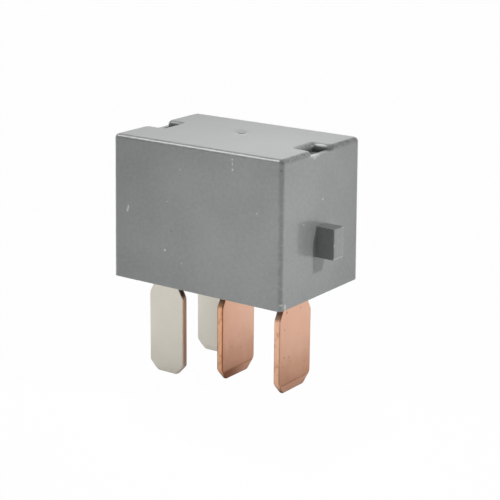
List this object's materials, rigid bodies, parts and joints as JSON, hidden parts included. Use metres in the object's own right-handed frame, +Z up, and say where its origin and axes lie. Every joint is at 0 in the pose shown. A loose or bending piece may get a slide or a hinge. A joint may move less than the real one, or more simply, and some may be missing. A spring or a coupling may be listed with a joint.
{
  "type": "plug-in relay",
  "caption": "Sealed plug-in relay: grey moulded box with copper and tinned blade terminals underneath, a key tab on one end, pull notches, and a coil with a hinged armature inside.",
  "frame": {"origin": "middle of the cover's rim, on the plane that seats on the socket", "axes": "+Z up, out of the closed top; +X along the box towards the key tab; +Y across the box"},
  "size_m": [0.0253, 0.0156, 0.0282],
  "materials": {
    "cover_grey": "fine moulded semi-matte grey",
    "base_black": "moulded black",
    "resin_dark": "cured glossy resin",
    "bobbin_natural": "moulded natural",
    "enamelled_wire": "enamelled copper wire",
    "solder": "tin solder",
    "plated_iron": "nickel-plated soft iron",
    "leaf_alloy": "rolled copper alloy",
    "rivet_brass": "headed brass",
    "contact_silver": "satin silver alloy",
    "bare_copper": "rolled bare copper",
    "tinned_copper": "tin-plated copper with bare cut edges"
  },
  "bodies": {
    "housing": {"cover": "cover_grey", "base": "base_black", "sealing_resin": "resin_dark", "bobbin": "bobbin_natural", "coil_winding": "enamelled_wire", "coil_lead_start": "enamelled_wire", "coil_lead_finish": "enamelled_wire", "lead_solder": "solder", "core": "plated_iron", "yoke": "plated_iron", "yoke_rivets": "rivet_brass", "fixed_contact": "contact_silver", "terminal_load": "bare_copper", "terminal_common": "bare_copper", "terminal_coil_front": "tinned_copper", "terminal_coil_rear": "tinned_copper"},
    "armature_arm": {"armature": "plated_iron", "contact_leaf": "leaf_alloy", "armature_rivets": "rivet_brass", "moving_contact": "contact_silver"}
  },
  "joints": [
    {"name": "armature_hinge", "type": "hinge", "parent": "housing", "child": "armature_arm", "pos_m": [-0.00905, 0, 0.01173], "axis": [0, 1, 0], "range_deg": [0, 3.2], "stiffness_Nm_per_rad": 0.01, "springref_deg": -8.59, "deforming": ["contact_leaf"]}
  ]
}
